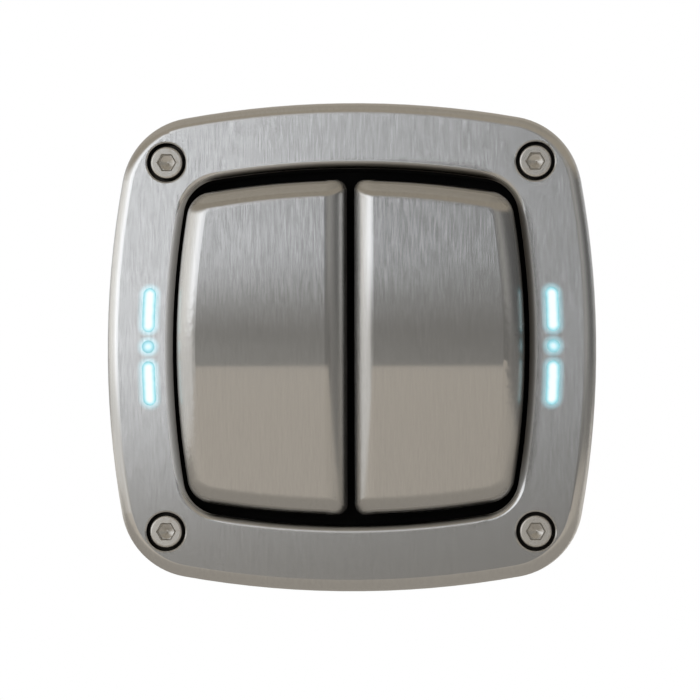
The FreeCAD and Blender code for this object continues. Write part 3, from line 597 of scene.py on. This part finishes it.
def studio():
    """Soft surroundings: a pale sky, dimmer at the horizon, overhead and at the front's right.

    The camera itself sees plain white."""
    world = bpy.data.worlds.new("studio")
    scene.world = world
    world.use_nodes = True
    world.node_tree.nodes.clear()
    nodes = Nodes(world.node_tree)
    coords = nodes.add("ShaderNodeTexCoord")
    split = nodes.add("ShaderNodeSeparateXYZ", [(0, coords.outputs["Generated"])])
    # Upward part of the direction, from 0.1 below level to straight up
    lowest, highest = -0.1, 1.0
    stops = [
        (-0.10, (0.30, 0.28, 0.26)), (0.0, (0.34, 0.33, 0.31)), (0.15, (0.70, 0.71, 0.72)),
        (0.55, (0.50, 0.46, 0.40)), (1.00, (0.42, 0.38, 0.32)),
    ]
    stops = [((z - lowest) / (highest - lowest), colour) for z, colour in stops]
    sky = nodes.ramp(nodes.linear(split.outputs["Z"], lowest, highest), stops)
    right = nodes.smooth(split.outputs["X"], -0.25, 0.45, 1.0, 0.7)
    behind = nodes.smooth(split.outputs["Y"], -0.2, 0.3)
    fade = nodes.calc("MAXIMUM", right, behind)
    around = nodes.add("ShaderNodeBackground", [("Color", sky), ("Strength", fade)])
    white = nodes.add("ShaderNodeBackground", [("Color", (1, 1, 1, 1)), ("Strength", 1.0)])
    path = nodes.add("ShaderNodeLightPath")
    both = nodes.add("ShaderNodeMixShader", [("Fac", path.outputs["Is Camera Ray"]),
                                             (1, around.outputs[0]), (2, white.outputs[0])])
    nodes.add("ShaderNodeOutputWorld", [("Surface", both.outputs[0])])


def wall_colour(look):
    """Colour of the light wall by height and by the angle round it.

    It is dark straight ahead, brighter to both sides and brightest at the left. Below is a dim
    horizon, and above a warm band. Each colour comes in over its own range of turn, in degrees
    to the right."""
    x, y, z = look.axes()
    azimuth = look.calc("ARCTAN2", x, look.calc("MULTIPLY", y, -1.0))
    turn = look.calc("MULTIPLY", azimuth, 180 / math.pi)
    side = (0.10, 0.102, 0.102)
    for start, end, colour in [
        (-1.5, -8.8, (1.24, 1.27, 1.32)), (3.0, 12.0, (0.36, 0.355, 0.34)),
        (36.0, 62.0, (0.11, 0.11, 0.11)), (-14.0, -36.0, (1.45, 1.47, 1.50)),
        (-42.0, -62.0, (1.00, 0.98, 0.94)),
    ]:
        side = look.mix(look.smooth(turn, start, end), side, colour)
    horizon = look.mix(look.smooth(z, -0.030, -0.065), (0.30, 0.292, 0.277), (0.36, 0.35, 0.33))
    for start, end, colour in [
        (-6.0, 0.0, (0.215, 0.208, 0.197)), (-10.0, -30.0, (0.80, 0.785, 0.76)),
    ]:
        horizon = look.mix(look.smooth(turn, start, end), horizon, colour)
    glow = look.mix(look.smooth(z, -0.040, 0.065), horizon, side)
    return look.mix(look.smooth(z, 0.26, 0.72), glow, (0.38, 0.34, 0.28))


def surround():
    """Curved light wall round the front, as far as the spread in degrees to each side."""
    radius, low, high, spread, steps = 1.4, -0.20, 1.6, 115, 96
    points = []
    for step in range(steps + 1):
        angle = math.radians(-spread + 2 * spread * step / steps)
        x, y = radius * math.sin(angle), -radius * math.cos(angle)
        points += [(x, y, low), (x, y, high)]
    faces = [(2 * i, 2 * i + 2, 2 * i + 3, 2 * i + 1) for i in range(steps)]
    look = glowing("surround")
    look.drive("Emission Color", wall_colour(look))
    made = mesh_object("surround", points, faces, look)
    only_in_reflections(made)


def bounce():
    """Low warm card under and in front of the switch, dimmer to the right and at the switch."""
    look = glowing("bounce")
    x, y, _ = look.axes()
    card = look.mix(look.smooth(x, -0.08, 0.06), (0.56, 0.515, 0.455), (0.49, 0.45, 0.395))
    card = look.mix(look.smooth(y, -0.09, -0.03), card, (0.37, 0.343, 0.305))
    look.drive("Emission Color", card)
    made = level_sheet("bounce", look, x=(-0.20, 0.30), y=(-0.857, 0.03), z=-0.045)
    only_in_reflections(made)


def overhead():
    """Broad overhead light for the floor and the matt parts; it leaves no spot on the steel."""
    light = bpy.data.lights.new("overhead", "SUN")
    light.energy = 2.0
    light.angle = math.radians(75)
    made = bpy.data.objects.new("overhead", light)
    made.rotation_euler = Vector((0.35, -0.55, -1.0)).to_track_quat("-Z", "Y").to_euler()
    made.visible_glossy = False
    scene.collection.objects.link(made)


# Width of the camera's sensor in millimetres, and the shift of the picture on it.
SENSOR = 36.0
SHIFT = (-0.0021, -0.0042)


def camera(azimuth, elevation, distance, width):
    """Camera on the switch's middle. Width is what the frame covers at that distance."""
    middle = Vector((0, -6 * MM, 0))
    a, e = math.radians(azimuth), math.radians(elevation)
    back = Vector((math.sin(a) * math.cos(e), -math.cos(a) * math.cos(e), math.sin(e)))
    data = bpy.data.cameras.new("camera")
    data.sensor_width = SENSOR
    data.lens = SENSOR * distance / width
    data.clip_start, data.clip_end = 0.01, 60.0
    data.shift_x, data.shift_y = SHIFT
    made = bpy.data.objects.new("camera", data)
    made.location = middle + back * distance
    made.rotation_euler = (-back).to_track_quat("-Z", "Y").to_euler()
    scene.collection.objects.link(made)
    scene.camera = made


floor()
studio()
surround()
bounce()
overhead()
camera(azimuth=3.4, elevation=-2.4, distance=1.0, width=0.1176)
scene.view_settings.view_transform = "Standard"
